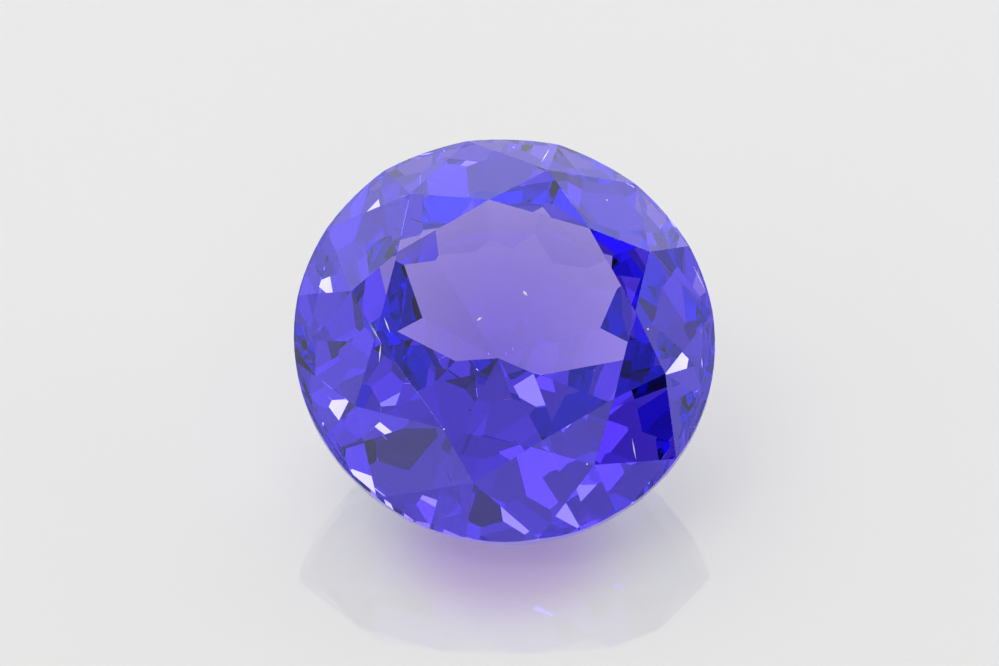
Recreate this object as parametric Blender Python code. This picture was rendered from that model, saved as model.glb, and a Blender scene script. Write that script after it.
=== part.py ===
"""A round cut tanzanite, lying on one facet of its pavilion.

The stone is cut the way a lapidary cuts it. A round blank is made first. Then
every facet is one flat cut across it, set by three things: the direction it
faces (its index), its angle from the girdle plane and how deep it goes.

Stone frame while cutting: millimetres, the girdle's middle plane is z = 0, the
table faces +Z and the index is counted anticlockwise from +X. The finished
stone is tipped on to its resting facet and written in metres, with the table
leaning towards -Y.
"""
import math

import bmesh
import bpy
from mathutils import Matrix, Vector

NODE_NAME = "tanzanite"
MILLIMETRE = 0.001

# Girdle
GIRDLE_RADIUS = 5.0
OUT_OF_ROUND = 0.0123
LONG_AXIS_INDEX = 118.0
GIRDLE_THICKNESS = 0.25
GIRDLE_SIDES = 96

# Crown: index and radius of each table corner, and the index each bezel faces
TABLE_HEIGHT = 1.55
TABLE_CORNERS = (
    (3, 3.06), (48, 2.98), (97, 2.95), (147, 2.99), (188, 3.03), (242, 3.07), (281, 3.23), (322, 3.23)
)
BEZEL_INDEXES = (7, 51, 100, 147, 187, 233, 279, 323)
BEZEL_ANGLE = 36.5
STAR_ANGLE = 21.0

# Pavilion: the mains meet at the culet, and each lower facet has an index, an angle and a reach
CULET = (-0.14, 0.14, -4.45)
MAIN_ANGLE = 32.0
MAIN_INDEXES = (25, 47, 69, 96, 110, 140, 173, 208, 236, 303, 357)
LOWER_FACETS = (
    (13, 38.0, 3.78), (36, 36.0, 3.81), (57, 42.0, 3.86), (88, 42.0, 3.93), (106, 42.0, 3.93),
    (125, 45.0, 4.02), (159, 39.5, 3.89), (193, 36.5, 3.76), (228, 35.5, 3.68), (312, 33.5, 3.66),
    (347, 33.0, 3.70)
)
BREAK_COUNT = 16
BREAK_TURN = 4.9
BREAK_ANGLE = 52.0
BREAK_RADIUS = 4.10
BREAK_DEPTH = 1.55
SKIRT_COUNT = 32
SKIRT_ANGLE = 65.0

# The facet that the stone lies on, which also ends at the culet
REST_INDEX = 270.0
REST_ANGLE = 34.0

BLANK_HEIGHT = 12.0
SNAP_DISTANCE = 0.0005
WELD_DISTANCE = 0.001


def clear_scene():
    """Remove every object of the start-up scene."""
    for item in list(bpy.data.objects):
        bpy.data.objects.remove(item, do_unlink=True)


def direction(index):
    """Return the flat direction of an index in degrees."""
    turn = math.radians(index)
    return Vector((math.cos(turn), math.sin(turn), 0.0))


def girdle_radius(index):
    """Return the radius of the slightly oval girdle at an index."""
    swing = math.cos(2.0 * math.radians(index - LONG_AXIS_INDEX))
    return GIRDLE_RADIUS * (1.0 + OUT_OF_ROUND * swing)


def facet_normal(index, angle, below=False):
    """Return the outward normal of a facet at an angle from the girdle plane."""
    slope = math.radians(angle)
    normal = direction(index) * math.sin(slope)
    normal.z = -math.cos(slope) if below else math.cos(slope)
    return normal


def meeting_point(*planes):
    """Return the point that three (point, normal) planes share."""
    normals = Matrix([normal for _, normal in planes])
    reaches = Vector([normal.dot(point) for point, normal in planes])
    return normals.inverted() @ reaches


def cut(stone, point, normal):
    """Grind the stone flat to one plane and close the new face."""
    everything = stone.verts[:] + stone.edges[:] + stone.faces[:]
    bmesh.ops.bisect_plane(
        stone, geom=everything, dist=SNAP_DISTANCE, plane_co=point, plane_no=normal,
        clear_outer=True
    )
    bmesh.ops.remove_doubles(stone, verts=stone.verts[:], dist=WELD_DISTANCE)
    rim = [edge for edge in stone.edges if edge.is_boundary]
    if rim:
        bmesh.ops.holes_fill(stone, edges=rim, sides=0)


def make_blank():
    """Return the round, slightly oval blank with a wall as thick as the stone."""
    stone = bmesh.new()
    bmesh.ops.create_cone(
        stone, cap_ends=True, segments=GIRDLE_SIDES, radius1=GIRDLE_RADIUS,
        radius2=GIRDLE_RADIUS, depth=BLANK_HEIGHT
    )
    for vertex in stone.verts:
        index = math.degrees(math.atan2(vertex.co.y, vertex.co.x))
        vertex.co.xy *= girdle_radius(index) / GIRDLE_RADIUS
    return stone


def girdle_point(index, height):
    """Return a point of the girdle's wall at an index and a height."""
    point = direction(index) * girdle_radius(index)
    point.z = height
    return point


def table_corners():
    """Return the eight corner points of the table."""
    corners = [direction(index) * radius for index, radius in TABLE_CORNERS]
    for corner in corners:
        corner.z = TABLE_HEIGHT
    return corners


def star_plane(first, second):
    """Return the star facet that hangs from one edge of the table."""
    outward = (second - first).cross(Vector((0.0, 0.0, 1.0))).normalized()
    slope = math.radians(STAR_ANGLE)
    return first, outward * math.sin(slope) + Vector((0.0, 0.0, math.cos(slope)))


def bezel_foot(bezel, index):
    """Return the point where a bezel meets the girdle's wall at its own index."""
    point, normal = bezel
    foot = girdle_point(index, 0.0)
    foot.z = normal.dot(point - foot) / normal.z
    return foot


def upper_girdle_plane(tip, foot):
    """Return the facet between a star's tip, a bezel's foot and the girdle's upper edge."""
    tip_index = math.degrees(math.atan2(tip.y, tip.x))
    middle = girdle_point(tip_index, GIRDLE_THICKNESS / 2.0)
    normal = (foot - tip).cross(middle - tip).normalized()
    if normal.z < 0.0:
        normal.negate()
    return tip, normal


def cut_crown(stone):
    """Cut the table, bezels, stars and upper girdle facets."""
    cut(stone, Vector((0.0, 0.0, TABLE_HEIGHT)), Vector((0.0, 0.0, 1.0)))
    corners = table_corners()
    bezels = [
        (corner, facet_normal(index, BEZEL_ANGLE))
        for corner, index in zip(corners, BEZEL_INDEXES)
    ]
    feet = [bezel_foot(bezel, index) for bezel, index in zip(bezels, BEZEL_INDEXES)]
    for bezel in bezels:
        cut(stone, *bezel)
    for place, corner in enumerate(corners):
        following = (place + 1) % len(corners)
        star = star_plane(corner, corners[following])
        cut(stone, *star)
        tip = meeting_point(bezels[place], bezels[following], star)
        cut(stone, *upper_girdle_plane(tip, feet[place]))
        cut(stone, *upper_girdle_plane(tip, feet[following]))


def cut_pavilion(stone):
    """Cut the skirt, break, lower and main tiers, then the resting facet."""
    bottom = -GIRDLE_THICKNESS / 2.0
    for place in range(SKIRT_COUNT):
        index = 360.0 * place / SKIRT_COUNT
        cut(stone, girdle_point(index, bottom), facet_normal(index, SKIRT_ANGLE, below=True))
    for place in range(BREAK_COUNT):
        index = BREAK_TURN + 360.0 * place / BREAK_COUNT
        point = girdle_point(index, 0.0) * (BREAK_RADIUS / GIRDLE_RADIUS)
        point.z = -BREAK_DEPTH
        cut(stone, point, facet_normal(index, BREAK_ANGLE, below=True))
    for index, angle, reach in LOWER_FACETS:
        normal = facet_normal(index, angle, below=True)
        cut(stone, normal * reach, normal)
    for index in MAIN_INDEXES:
        cut(stone, Vector(CULET), facet_normal(index, MAIN_ANGLE, below=True))
    cut(stone, Vector(CULET), facet_normal(REST_INDEX, REST_ANGLE, below=True))


def lay_down(stone):
    """Tip the stone on to its resting facet and set it on z = 0, in metres."""
    tip = Matrix.Rotation(math.radians(REST_ANGLE), 4, "X")
    reach = facet_normal(REST_INDEX, REST_ANGLE, below=True).dot(Vector(CULET))
    lift = Matrix.Translation((0.0, 0.0, reach))
    stone.transform(Matrix.Scale(MILLIMETRE, 4) @ lift @ tip)


def crystal_material():
    """Return the violet-blue material of the clear crystal."""
    material = bpy.data.materials.new("tanzanite crystal")
    material.use_nodes = True
    surface = material.node_tree.nodes["Principled BSDF"]
    surface.inputs["Base Color"].default_value = (0.13, 0.10, 0.72, 1.0)
    surface.inputs["Roughness"].default_value = 0.03
    surface.inputs["Metallic"].default_value = 0.0
    surface.inputs["IOR"].default_value = 1.695
    return material


def build_stone(collection):
    """Cut the stone and place it in a collection."""
    stone = make_blank()
    cut_crown(stone)
    cut_pavilion(stone)
    bmesh.ops.recalc_face_normals(stone, faces=stone.faces[:])
    lay_down(stone)
    mesh = bpy.data.meshes.new(NODE_NAME)
    stone.to_mesh(mesh)
    stone.free()
    mesh.materials.append(crystal_material())
    item = bpy.data.objects.new(NODE_NAME, mesh)
    collection.objects.link(item)
    return item


def main():
    """Clear the scene and cut the one stone."""
    clear_scene()
    collection = bpy.data.collections.new("round cut tanzanite")
    bpy.context.scene.collection.children.link(collection)
    build_stone(collection)


main()
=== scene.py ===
"""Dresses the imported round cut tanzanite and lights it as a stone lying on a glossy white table."""
import logging
import math
from dataclasses import dataclass
from enum import Enum

import bmesh
import bpy
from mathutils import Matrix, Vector
from mathutils.bvhtree import BVHTree


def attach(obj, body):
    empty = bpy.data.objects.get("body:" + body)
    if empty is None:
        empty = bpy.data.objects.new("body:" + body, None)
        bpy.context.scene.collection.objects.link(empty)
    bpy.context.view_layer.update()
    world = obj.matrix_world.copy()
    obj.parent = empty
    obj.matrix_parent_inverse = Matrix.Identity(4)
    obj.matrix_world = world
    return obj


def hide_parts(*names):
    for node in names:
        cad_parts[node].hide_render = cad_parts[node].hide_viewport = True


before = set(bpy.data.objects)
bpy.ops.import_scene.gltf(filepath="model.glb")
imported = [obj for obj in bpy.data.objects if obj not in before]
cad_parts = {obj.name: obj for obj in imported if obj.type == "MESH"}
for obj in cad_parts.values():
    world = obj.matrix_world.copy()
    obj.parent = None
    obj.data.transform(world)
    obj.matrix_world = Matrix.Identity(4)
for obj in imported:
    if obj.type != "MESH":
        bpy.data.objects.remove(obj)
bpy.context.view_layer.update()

MILLIMETRE = 0.001
LOG = logging.getLogger("tanzanite")


class Surface(Enum):
    """The two ways the stone's skin is worked."""

    POLISHED = 0
    BRUTED = 1


class LampColour(Enum):
    """The colours of the lamps, before the crystal takes most of the green and red out of them."""

    GLINT = (0.44, 1.0, 0.35)
    PETAL = (0.45, 1.0, 0.12)
    PINK = (1.0, 0.6, 0.05)


def studio_direction(azimuth: float, elevation: float) -> Vector:
    """Return the direction of a place in the studio.

    Args:
        azimuth: Degrees from the viewer's side, positive to the right.
        elevation: Degrees above the table.

    Returns:
        Direction of length one from the stone.
    """
    turn = math.radians(azimuth)
    rise = math.radians(elevation)
    return Vector((
        math.sin(turn) * math.cos(rise), -math.cos(turn) * math.cos(rise), math.sin(rise)
    ))


def new_material(name: str) -> tuple[bpy.types.Material, bpy.types.ShaderNode]:
    """Return a new material with its shader.

    Args:
        name: Name of the material.

    Returns:
        The material and its principled shader.
    """
    material = bpy.data.materials.new(name)
    material.use_nodes = True
    return material, material.node_tree.nodes["Principled BSDF"]


def new_mesh(name: str, mesh: bmesh.types.BMesh) -> bpy.types.Mesh:
    """Turn an edit mesh into mesh data and free it.

    Args:
        name: Name of the mesh data.
        mesh: The edit mesh.

    Returns:
        The mesh data.
    """
    data = bpy.data.meshes.new(name)
    mesh.to_mesh(data)
    mesh.free()
    return data


def new_object(name: str, data: bpy.types.ID) -> bpy.types.Object:
    """Put data into the scene as an object.

    Args:
        name: Name of the object.
        data: Mesh, lamp or camera data.

    Returns:
        The object.
    """
    item = bpy.data.objects.new(name, data)
    bpy.context.scene.collection.objects.link(item)
    return item


@dataclass(frozen=True)
class Crystal:
    """How the clear crystal bends light and takes colours out of it.

    The loss is the red, green and blue light absorbed per metre of path. The density of the
    body lies above the largest loss by the headroom, so that no part of its colour is zero.
    """

    refraction: float = 1.695
    loss_per_metre: tuple[float, float, float] = (205.0, 270.0, 16.0)
    headroom: float = 1.03

    def fill(self, tree: bpy.types.NodeTree) -> None:
        """Put the absorbing crystal in the volume of a material.

        Args:
            tree: Node tree of the material.
        """
        density = max(self.loss_per_metre) * self.headroom
        absorption = tree.nodes.new("ShaderNodeVolumeAbsorption")
        absorption.inputs["Color"].default_value = (
            *(1.0 - loss / density for loss in self.loss_per_metre), 1.0
        )
        absorption.inputs["Density"].default_value = density
        output = tree.nodes["Material Output"]
        tree.links.new(absorption.outputs["Volume"], output.inputs["Volume"])


@dataclass(frozen=True)
class LapTraces:
    """The fine unevenness that grinding and polishing wheels leave, as one shared node group."""

    name: str = "lap traces"
    detail: float = 3.0

    def group(self) -> bpy.types.NodeTree:
        """Return the node group, built on first use.

        Returns:
            Group with inputs Scale, Roughness and Spread and outputs Roughness and Height.
        """
        known = bpy.data.node_groups.get(self.name)
        if known:
            return known
        tree = bpy.data.node_groups.new(self.name, "ShaderNodeTree")
        for label in ("Scale", "Roughness", "Spread"):
            tree.interface.new_socket(label, in_out="INPUT", socket_type="NodeSocketFloat")
        for label in ("Roughness", "Height"):
            tree.interface.new_socket(label, in_out="OUTPUT", socket_type="NodeSocketFloat")
        inlet = tree.nodes.new("NodeGroupInput")
        outlet = tree.nodes.new("NodeGroupOutput")
        coordinates = tree.nodes.new("ShaderNodeTexCoord")
        noise = tree.nodes.new("ShaderNodeTexNoise")
        noise.inputs["Detail"].default_value = self.detail
        spread = tree.nodes.new("ShaderNodeMath")
        spread.operation = "MULTIPLY_ADD"
        tree.links.new(coordinates.outputs["Object"], noise.inputs["Vector"])
        tree.links.new(inlet.outputs["Scale"], noise.inputs["Scale"])
        tree.links.new(noise.outputs["Fac"], spread.inputs[0])
        tree.links.new(inlet.outputs["Spread"], spread.inputs[1])
        tree.links.new(inlet.outputs["Roughness"], spread.inputs[2])
        tree.links.new(spread.outputs[0], outlet.inputs["Roughness"])
        tree.links.new(noise.outputs["Fac"], outlet.inputs["Height"])
        return tree


@dataclass(frozen=True)
class CrystalSkin:
    """One finish of the stone's surface over the clear crystal."""

    name: str
    crystal: Crystal = Crystal()
    traces: LapTraces = LapTraces()
    roughness: float = 0.0
    spread: float = 0.0
    scale: float = 900.0
    relief: float = 0.0
    clearness: float = 1.0
    tint: tuple[float, float, float] = (1.0, 1.0, 1.0)

    def material(self) -> bpy.types.Material:
        """Return the finished material.

        Returns:
            Glass-like material with an absorbing body.
        """
        material, shader = new_material(self.name)
        tree = material.node_tree
        shader.inputs["Base Color"].default_value = (*self.tint, 1.0)
        shader.inputs["Transmission Weight"].default_value = self.clearness
        shader.inputs["IOR"].default_value = self.crystal.refraction
        traces = tree.nodes.new("ShaderNodeGroup")
        traces.node_tree = self.traces.group()
        traces.inputs["Scale"].default_value = self.scale
        traces.inputs["Roughness"].default_value = self.roughness
        traces.inputs["Spread"].default_value = self.spread
        tree.links.new(traces.outputs["Roughness"], shader.inputs["Roughness"])
        bump = tree.nodes.new("ShaderNodeBump")
        bump.inputs["Strength"].default_value = 1.0
        bump.inputs["Distance"].default_value = self.relief
        tree.links.new(traces.outputs["Height"], bump.inputs["Height"])
        tree.links.new(bump.outputs["Normal"], shader.inputs["Normal"])
        self.crystal.fill(tree)
        return material


@dataclass
class Stone:
    """The cut stone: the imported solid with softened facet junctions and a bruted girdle."""

    node: str = "tanzanite"
    name: str = "cut_stone"
    junction_width: float = 0.020 * MILLIMETRE
    flat_within: float = math.radians(0.08)
    weld: float = 0.002 * MILLIMETRE
    table_tilt: float = math.radians(34.0)
    girdle_lean: float = 0.05
    polished: CrystalSkin = CrystalSkin("polished tanzanite")
    bruted: CrystalSkin = CrystalSkin(
        "bruted girdle", roughness=0.3, spread=0.2, scale=9000.0, relief=0.002 * MILLIMETRE,
        clearness=0.55, tint=(0.83, 0.80, 1.0)
    )

    def table_direction(self) -> Vector:
        """Return the direction that the table faces."""
        return Vector((0.0, -math.sin(self.table_tilt), math.cos(self.table_tilt)))

    def facets(self) -> bmesh.types.BMesh:
        """Return the solid with each flat facet as one face.

        Returns:
            Mesh in metres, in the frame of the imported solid.
        """
        mesh = bmesh.new()
        mesh.from_mesh(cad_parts[self.node].data)
        bmesh.ops.remove_doubles(mesh, verts=mesh.verts[:], dist=self.weld)
        bmesh.ops.dissolve_limit(
            mesh, angle_limit=self.flat_within, verts=mesh.verts[:], edges=mesh.edges[:]
        )
        return mesh

    def soften_junctions(self, mesh: bmesh.types.BMesh) -> None:
        """Round the junctions between facets as far as polishing does.

        Args:
            mesh: The faceted solid.
        """
        bmesh.ops.bevel(
            mesh, geom=mesh.edges[:], offset=self.junction_width / 2.0, offset_type="OFFSET",
            segments=1, profile=0.5, affect="EDGES", clamp_overlap=True
        )

    def mark_girdle(self, mesh: bmesh.types.BMesh) -> int:
        """Give the faces of the girdle's wall the bruted finish.

        Args:
            mesh: The faceted solid.

        Returns:
            Number of faces marked.
        """
        up = self.table_direction()
        count = 0
        for face in mesh.faces:
            wall = abs(face.normal.dot(up)) < self.girdle_lean
            face.material_index = Surface.BRUTED.value if wall else Surface.POLISHED.value
            face.smooth = False
            count += wall
        return count

    def build(self) -> bpy.types.Object:
        """Build and dress the stone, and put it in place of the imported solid.

        Returns:
            The stone's object.
        """
        mesh = self.facets()
        facet_count = len(mesh.faces)
        self.soften_junctions(mesh)
        girdle_faces = self.mark_girdle(mesh)
        data = new_mesh(self.name, mesh)
        for skin in (self.polished, self.bruted):
            data.materials.append(skin.material())
        item = new_object(self.name, data)
        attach(item, "root")
        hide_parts(self.node)
        LOG.info("stone: %d facets, %d girdle faces", facet_count, girdle_faces)
        return item


@dataclass(frozen=True)
class GlossyWhite:
    """The table's finish: glossy white, lit a little from below, with a painted violet shadow.

    The painted shadow lies in front of the stone: it darkens the table's colour and glow and tints
    them violet, in place of the stone's shadow and the violet light it lets through. It is full
    inside the inner radius and gone at the outer one.
    """

    name: str = "glossy white table"
    whiteness: float = 0.46
    glow: float = 0.315
    roughness: float = 0.04
    # Painted shadow: the table's colour and glow darkened and tinted violet in front of the stone.
    painted_shadow_centre: tuple[float, float, float] = (0.0, -3.4 * MILLIMETRE, 0.0)
    painted_shadow_inner: float = 0.6 * MILLIMETRE
    painted_shadow_outer: float = 3.8 * MILLIMETRE
    painted_shadow_colour: tuple[float, float, float] = (0.80, 0.65, 0.97)

    def add_painted_shadow(self, tree: bpy.types.NodeTree) -> bpy.types.NodeSocket:
        """Add the painted shade: violet, in place of the stone's shadow and the light it lets
        through.

        Args:
            tree: Node tree of the table's material.

        Returns:
            Colour socket that is white away from the stone.
        """
        coordinates = tree.nodes.new("ShaderNodeTexCoord")
        spread = tree.nodes.new("ShaderNodeVectorMath")
        spread.operation = "DISTANCE"
        spread.inputs[1].default_value = self.painted_shadow_centre
        fade = tree.nodes.new("ShaderNodeMapRange")
        fade.interpolation_type = "SMOOTHERSTEP"
        fade.inputs["From Min"].default_value = self.painted_shadow_outer
        fade.inputs["From Max"].default_value = self.painted_shadow_inner
        colour = tree.nodes.new("ShaderNodeMix")
        colour.data_type = "RGBA"
        colour.inputs["A"].default_value = (1.0, 1.0, 1.0, 1.0)
        colour.inputs["B"].default_value = (*self.painted_shadow_colour, 1.0)
        tree.links.new(coordinates.outputs["Object"], spread.inputs[0])
        tree.links.new(spread.outputs["Value"], fade.inputs["Value"])
        tree.links.new(fade.outputs["Result"], colour.inputs["Factor"])
        return colour.outputs["Result"]

    def material(self) -> bpy.types.Material:
        """Return the finished material.

        Returns:
            Glossy white material that glows a little.
        """
        material, shader = new_material(self.name)
        tree = material.node_tree
        shader.inputs["Roughness"].default_value = self.roughness
        shader.inputs["Emission Strength"].default_value = self.glow
        # The painted violet shadow, put into both the table's colour and its glow.
        painted_shadow = self.add_painted_shadow(tree)
        white = tree.nodes.new("ShaderNodeMix")
        white.data_type = "RGBA"
        white.blend_type = "MULTIPLY"
        white.inputs["Factor"].default_value = 1.0
        white.inputs["B"].default_value = (self.whiteness, self.whiteness, self.whiteness, 1.0)
        tree.links.new(painted_shadow, white.inputs["A"])
        tree.links.new(white.outputs["Result"], shader.inputs["Base Color"])
        tree.links.new(painted_shadow, shader.inputs["Emission Color"])
        return material


@dataclass
class TableTop:
    """The plain table that the stone lies on, a hair's breadth below it."""

    name: str = "table_top"
    half_size: float = 0.6
    air_gap: float = 0.01 * MILLIMETRE
    finish: GlossyWhite = GlossyWhite()

    def build(self) -> bpy.types.Object:
        """Build the table top.

        Returns:
            The table's object.
        """
        mesh = bmesh.new()
        bmesh.ops.create_grid(mesh, x_segments=1, y_segments=1, size=self.half_size)
        data = new_mesh(self.name, mesh)
        data.materials.append(self.finish.material())
        item = new_object(self.name, data)
        item.location.z = -self.air_gap
        LOG.info("table top: %.1f m square", 2.0 * self.half_size)
        return item


@dataclass(frozen=True)
class TentPanel:
    """One soft-edged area of the tent that is lighter or darker than the rest.

    Places, radius and edge are in degrees. Brightness is the radiance that replaces the tent's.
    """

    azimuth: float
    elevation: float
    radius: float
    edge: float
    brightness: float

    def add(
        self, tree: bpy.types.NodeTree, toward: bpy.types.NodeSocket, below: bpy.types.NodeSocket
    ) -> bpy.types.NodeSocket:
        """Lay the panel over the brightness found so far.

        Args:
            tree: Node tree of the surround.
            toward: Socket with the direction looked at.
            below: Socket with the brightness of what lies under the panel.

        Returns:
            Socket with the brightness including the panel.
        """
        facing = tree.nodes.new("ShaderNodeVectorMath")
        facing.operation = "DOT_PRODUCT"
        facing.inputs[1].default_value = studio_direction(self.azimuth, self.elevation)
        cover = tree.nodes.new("ShaderNodeMapRange")
        cover.interpolation_type = "SMOOTHSTEP"
        cover.inputs["From Min"].default_value = math.cos(math.radians(self.radius + self.edge))
        cover.inputs["From Max"].default_value = math.cos(math.radians(self.radius))
        lay = tree.nodes.new("ShaderNodeMix")
        lay.data_type = "FLOAT"
        lay.inputs["B"].default_value = self.brightness
        tree.links.new(toward, facing.inputs[0])
        tree.links.new(facing.outputs["Value"], cover.inputs["Value"])
        tree.links.new(cover.outputs["Result"], lay.inputs["Factor"])
        tree.links.new(below, lay.inputs["A"])
        return lay.outputs["Result"]


@dataclass(frozen=True)
class Spotlight:
    """One small round lamp aimed at the stone, which the table doesn't show.

    Places and radius are in degrees. Brightness is the radiance of the lamp's face.
    """

    azimuth: float
    elevation: float
    radius: float
    brightness: float = 27.0
    colour: LampColour = LampColour.GLINT
    distance: float = 0.3

    def build(self, name: str) -> bpy.types.Object:
        """Build the lamp.

        Args:
            name: Name of the lamp's object.

        Returns:
            The lamp's object.
        """
        width = 2.0 * self.distance * math.tan(math.radians(self.radius))
        data = bpy.data.lights.new(name, "AREA")
        data.shape = "DISK"
        data.size = width
        data.color = self.colour.value
        data.energy = self.brightness * math.pi * math.pi * width * width / 4.0
        item = new_object(name, data)
        toward = studio_direction(self.azimuth, self.elevation)
        item.location = toward * self.distance
        item.rotation_euler = toward.to_track_quat("Z", "Y").to_euler()
        item.visible_diffuse = False
        return item


@dataclass(frozen=True)
class TentCloth:
    """The white cloth of the tent, lit unevenly where it hangs in folds."""

    brightness: float = 0.84
    fold_depth: float = 0.35
    fold_scale: float = 3.5
    fold_detail: float = 1.0
    fold_low: float = 0.35
    fold_high: float = 0.65

    def add(self, tree: bpy.types.NodeTree, toward: bpy.types.NodeSocket) -> bpy.types.NodeSocket:
        """Add the cloth to the surround.

        Args:
            tree: Node tree of the surround.
            toward: Socket with the direction looked at.

        Returns:
            Socket with the cloth's brightness.
        """
        folds = tree.nodes.new("ShaderNodeTexNoise")
        folds.inputs["Scale"].default_value = self.fold_scale
        folds.inputs["Detail"].default_value = self.fold_detail
        shade = tree.nodes.new("ShaderNodeMapRange")
        shade.inputs["From Min"].default_value = self.fold_low
        shade.inputs["From Max"].default_value = self.fold_high
        shade.inputs["To Min"].default_value = 1.0 - self.fold_depth
        shade.inputs["To Max"].default_value = 1.0 + self.fold_depth
        cloth = tree.nodes.new("ShaderNodeMath")
        cloth.operation = "MULTIPLY"
        cloth.inputs[0].default_value = self.brightness
        tree.links.new(toward, folds.inputs["Vector"])
        tree.links.new(folds.outputs["Fac"], shade.inputs["Value"])
        tree.links.new(shade.outputs["Result"], cloth.inputs[1])
        return cloth.outputs[0]


@dataclass
class StudioLight:
    """The white tent around the stone with its lighter and darker areas, and the lamps."""

    cloth: TentCloth = TentCloth()
    panels: tuple[TentPanel, ...] = (
        TentPanel(azimuth=180.0, elevation=28.0, radius=40.0, edge=20.0, brightness=1.6),
        TentPanel(azimuth=-90.0, elevation=15.0, radius=15.0, edge=20.0, brightness=1.0),
        TentPanel(azimuth=90.0, elevation=20.0, radius=12.0, edge=16.0, brightness=1.0),
        TentPanel(azimuth=0.0, elevation=80.0, radius=12.0, edge=16.0, brightness=0.55),
        TentPanel(azimuth=50.0, elevation=12.0, radius=18.0, edge=13.0, brightness=0.03),
        TentPanel(azimuth=112.0, elevation=56.0, radius=16.0, edge=12.0, brightness=0.06),
        TentPanel(azimuth=-18.0, elevation=38.0, radius=12.0, edge=6.0, brightness=0.55),
        TentPanel(azimuth=69.0, elevation=41.0, radius=9.0, edge=4.0, brightness=0.22),
        TentPanel(azimuth=33.0, elevation=61.0, radius=3.5, edge=2.5, brightness=0.2),
        TentPanel(azimuth=-55.0, elevation=62.0, radius=13.0, edge=6.0, brightness=1.8),
    )
    lamps: tuple[Spotlight, ...] = (
        Spotlight(azimuth=8.0, elevation=49.0, radius=1.8),
        Spotlight(azimuth=-52.0, elevation=52.0, radius=1.5),
        Spotlight(azimuth=1.0, elevation=43.0, radius=1.7),
        Spotlight(azimuth=2.0, elevation=66.5, radius=1.1),
        Spotlight(azimuth=21.0, elevation=50.0, radius=1.8),
        Spotlight(azimuth=48.0, elevation=45.0, radius=2.4),
        Spotlight(azimuth=-36.0, elevation=32.0, radius=2.0),
        Spotlight(azimuth=77.0, elevation=40.0, radius=1.8),
        Spotlight(azimuth=-16.0, elevation=22.0, radius=1.2),
        Spotlight(azimuth=-40.0, elevation=67.0, radius=3.0, brightness=7.0, colour=LampColour.PETAL),
        Spotlight(azimuth=-64.0, elevation=57.0, radius=3.0, brightness=7.0, colour=LampColour.PETAL),
        Spotlight(azimuth=27.0, elevation=57.0, radius=2.2, brightness=7.0, colour=LampColour.PETAL),
        Spotlight(azimuth=-33.0, elevation=56.0, radius=2.3, brightness=6.0, colour=LampColour.PETAL),
        Spotlight(azimuth=9.0, elevation=35.0, radius=1.2, brightness=17.0, colour=LampColour.PINK),
        Spotlight(azimuth=3.0, elevation=72.0, radius=1.2, brightness=17.0, colour=LampColour.PINK),
    )

    def surround(self) -> bpy.types.World:
        """Return the tent as the world around the stone.

        Returns:
            World whose brightness changes with the direction looked at.
        """
        world = bpy.data.worlds.new("white tent")
        world.use_nodes = True
        tree = world.node_tree
        background = tree.nodes["Background"]
        background.inputs["Color"].default_value = (1.0, 1.0, 1.0, 1.0)
        toward = tree.nodes.new("ShaderNodeTexCoord").outputs["Generated"]
        brightness = self.cloth.add(tree, toward)
        for panel in self.panels:
            brightness = panel.add(tree, toward, brightness)
        tree.links.new(brightness, background.inputs["Strength"])
        return world

    def build(self) -> None:
        """Build the surround and the lamps."""
        bpy.context.scene.world = self.surround()
        for count, lamp in enumerate(self.lamps):
            lamp.build(f"spotlight_{count}")
        LOG.info("studio light: tent with %d panels and %d lamps", len(self.panels), len(self.lamps))


@dataclass
class ProductCamera:
    """The camera, placed so that the stone has the photograph's size and place."""

    name: str = "product camera"
    elevation: float = 37.4
    distance: float = 0.155
    picture_width_px: float = 999.0
    picture_height_px: float = 666.0
    pixels_per_metre: float = 42400.0
    girdle_centre_px: tuple[float, float] = (504.4, 338.8)
    girdle_centre: tuple[float, float, float] = (0.0, 0.0, 0.003611)
    sensor_width: float = 36.0
    nearest: float = 0.01
    farthest: float = 10.0

    def toward(self) -> Vector:
        """Return the direction from the stone to the camera."""
        return studio_direction(0.0, self.elevation)

    def upward(self) -> Vector:
        """Return the direction that is up in the picture."""
        rise = math.radians(self.elevation)
        return Vector((0.0, math.sin(rise), math.cos(rise)))

    def seen_at(self, right_px: float, down_px: float) -> Vector:
        """Return the point beside the girdle's centre that a pixel shows.

        Args:
            right_px: Pixels from the picture's left edge.
            down_px: Pixels from the picture's top edge.

        Returns:
            Point in the plane through the girdle's centre that faces the camera.
        """
        right = (right_px - self.girdle_centre_px[0]) / self.pixels_per_metre
        down = (down_px - self.girdle_centre_px[1]) / self.pixels_per_metre
        return Vector(self.girdle_centre) + Vector((right, 0.0, 0.0)) - self.upward() * down

    def place(self) -> Vector:
        """Return the place of the camera."""
        middle = self.seen_at(self.picture_width_px / 2.0, self.picture_height_px / 2.0)
        return middle + self.toward() * self.distance

    def build(self) -> bpy.types.Object:
        """Build the camera and make it the scene's own.

        Returns:
            The camera's object.
        """
        data = bpy.data.cameras.new(self.name)
        data.sensor_width = self.sensor_width
        field_width = self.picture_width_px / self.pixels_per_metre
        data.lens = self.sensor_width * self.distance / field_width
        data.clip_start = self.nearest
        data.clip_end = self.farthest
        item = new_object(self.name, data)
        item.location = self.place()
        item.rotation_euler = self.toward().to_track_quat("Z", "Y").to_euler()
        bpy.context.scene.camera = item
        LOG.info("camera: lens %.0f mm at %.0f mm", data.lens, self.distance / MILLIMETRE)
        return item


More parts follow.
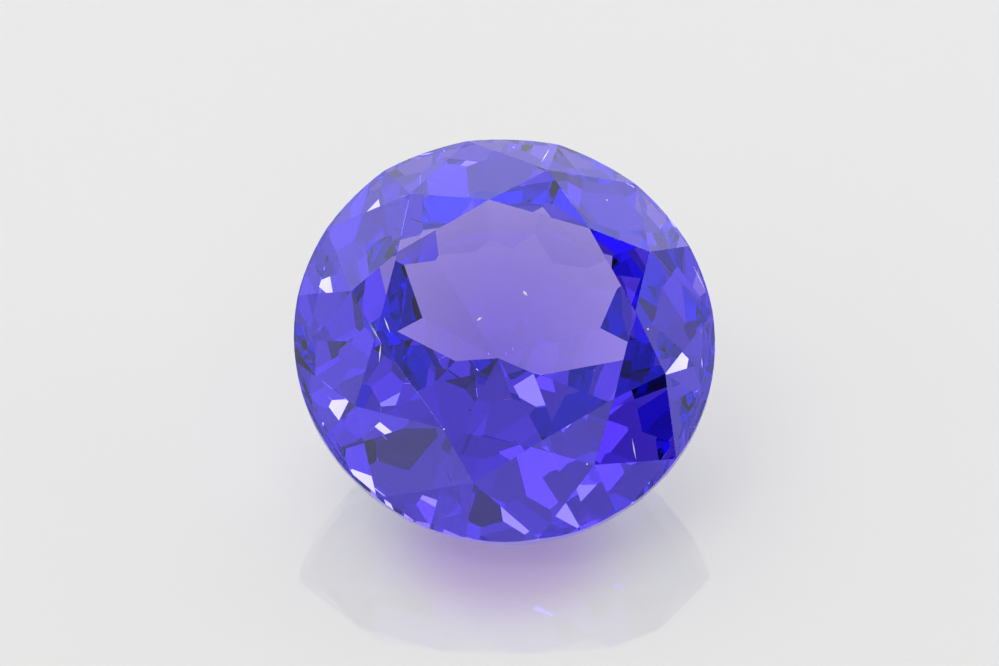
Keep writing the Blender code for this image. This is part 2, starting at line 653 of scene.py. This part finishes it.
@dataclass(frozen=True)
class BrightChip:
    """The finish of a chip or scratch: matt and bright."""

    name: str = "bright chip"
    colour: tuple[float, float, float] = (0.93, 0.92, 1.0)
    roughness: float = 0.4

    def material(self) -> bpy.types.Material:
        """Return the finished material.

        Returns:
            Matt material that no light passes through.
        """
        material, shader = new_material(self.name)
        shader.inputs["Base Color"].default_value = (*self.colour, 1.0)
        shader.inputs["Roughness"].default_value = self.roughness
        return material


@dataclass(frozen=True)
class Fleck:
    """One bright chip or scratch on a facet, from pixel to pixel, with its width in metres."""

    start_px: tuple[float, float]
    end_px: tuple[float, float]
    width: float = 0.035 * MILLIMETRE


@dataclass
class PolishFlecks:
    """The tiny bright chips, pits and scratches on the crown."""

    camera: ProductCamera
    stone: bpy.types.Object
    name: str = "polish_flecks"
    height_share: float = 0.25
    finish: BrightChip = BrightChip()
    chips: tuple[Fleck, ...] = (
        Fleck(start_px=(523.0, 290.5), end_px=(527.5, 296.0), width=0.07 * MILLIMETRE),
        Fleck(start_px=(477.0, 320.5), end_px=(482.0, 317.5), width=0.06 * MILLIMETRE),
        Fleck(start_px=(512.4, 147.0), end_px=(514.6, 147.4), width=0.06 * MILLIMETRE),
        Fleck(start_px=(606.0, 200.0), end_px=(608.4, 200.4), width=0.06 * MILLIMETRE),
        Fleck(start_px=(646.8, 329.0), end_px=(649.2, 329.2), width=0.06 * MILLIMETRE),
        Fleck(start_px=(586.0, 464.0), end_px=(588.2, 464.3), width=0.05 * MILLIMETRE),
        Fleck(start_px=(443.0, 429.0), end_px=(445.0, 429.2), width=0.05 * MILLIMETRE),
    )
    scratches: tuple[Fleck, ...] = (
        Fleck(start_px=(369.0, 322.0), end_px=(381.0, 343.0)),
        Fleck(start_px=(381.0, 343.0), end_px=(379.0, 363.0)),
        Fleck(start_px=(384.0, 317.0), end_px=(390.0, 333.0)),
        Fleck(start_px=(632.0, 438.0), end_px=(636.0, 460.0)),
        Fleck(start_px=(541.0, 163.0), end_px=(550.0, 148.0)),
        Fleck(start_px=(693.0, 265.0), end_px=(705.0, 290.0)),
    )

    def on_stone(self, tree: BVHTree, pixel: tuple[float, float]) -> tuple[Vector, Vector]:
        """Return the point of the stone that a pixel shows.

        Args:
            tree: The stone's faces.
            pixel: Pixels from the picture's left and top edge.

        Returns:
            The point and the facet's normal.
        """
        eye = self.camera.place()
        sight = (self.camera.seen_at(*pixel) - eye).normalized()
        point, normal, _, _ = tree.ray_cast(eye, sight)
        return point, normal

    def add_fleck(self, mesh: bmesh.types.BMesh, tree: BVHTree, fleck: Fleck) -> None:
        """Add one fleck as a long, low lens that sits half in the facet.

        Args:
            mesh: Mesh that gathers the flecks.
            tree: The stone's faces.
            fleck: The fleck.
        """
        start, normal = self.on_stone(tree, fleck.start_px)
        end, _ = self.on_stone(tree, fleck.end_px)
        side = (end - start).cross(normal).normalized() * (fleck.width / 2.0)
        lift = normal * (fleck.width * self.height_share)
        middle = (start + end) / 2.0
        ring = [mesh.verts.new(place) for place in (start, middle + side, end, middle - side)]
        for tip in (mesh.verts.new(middle + lift), mesh.verts.new(middle - lift)):
            for place, corner in enumerate(ring):
                mesh.faces.new((corner, ring[(place + 1) % len(ring)], tip))

    def build(self) -> bpy.types.Object:
        """Build and dress the flecks.

        Returns:
            The flecks' object.
        """
        tree = BVHTree.FromObject(self.stone, bpy.context.evaluated_depsgraph_get())
        mesh = bmesh.new()
        for fleck in self.chips + self.scratches:
            self.add_fleck(mesh, tree, fleck)
        bmesh.ops.recalc_face_normals(mesh, faces=mesh.faces[:])
        data = new_mesh(self.name, mesh)
        data.materials.append(self.finish.material())
        item = new_object(self.name, data)
        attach(item, "root")
        LOG.info("polish flecks: %d chips, %d scratches", len(self.chips), len(self.scratches))
        return item


@dataclass(frozen=True)
class LightPaths:
    """How often light bounces inside the stone, and how its colours are shown."""

    bounces: int = 24
    glossy_bounces: int = 12
    brightest_bounce: float = 8.0

    def set_up(self) -> None:
        """Give the settings to the scene."""
        scene = bpy.context.scene
        scene.cycles.max_bounces = self.bounces
        scene.cycles.transmission_bounces = self.bounces
        scene.cycles.glossy_bounces = self.glossy_bounces
        scene.cycles.sample_clamp_indirect = self.brightest_bounce
        scene.cycles.sampling_pattern = "TABULATED_SOBOL"
        scene.cycles.use_denoising = True
        scene.cycles.denoising_input_passes = "RGB_ALBEDO_NORMAL"
        scene.cycles.denoising_prefilter = "ACCURATE"
        scene.view_settings.view_transform = "Standard"
        scene.view_settings.look = "None"
        LOG.info("light paths: %d bounces", self.bounces)


def main() -> None:
    """Build the camera, the stone, its table and its light in order."""
    logging.basicConfig(level=logging.INFO, format="%(name)s %(message)s")
    camera = ProductCamera()
    camera.build()
    stone = Stone().build()
    PolishFlecks(camera, stone).build()
    TableTop().build()
    StudioLight().build()
    LightPaths().set_up()


if __name__ == "__main__":
    main()
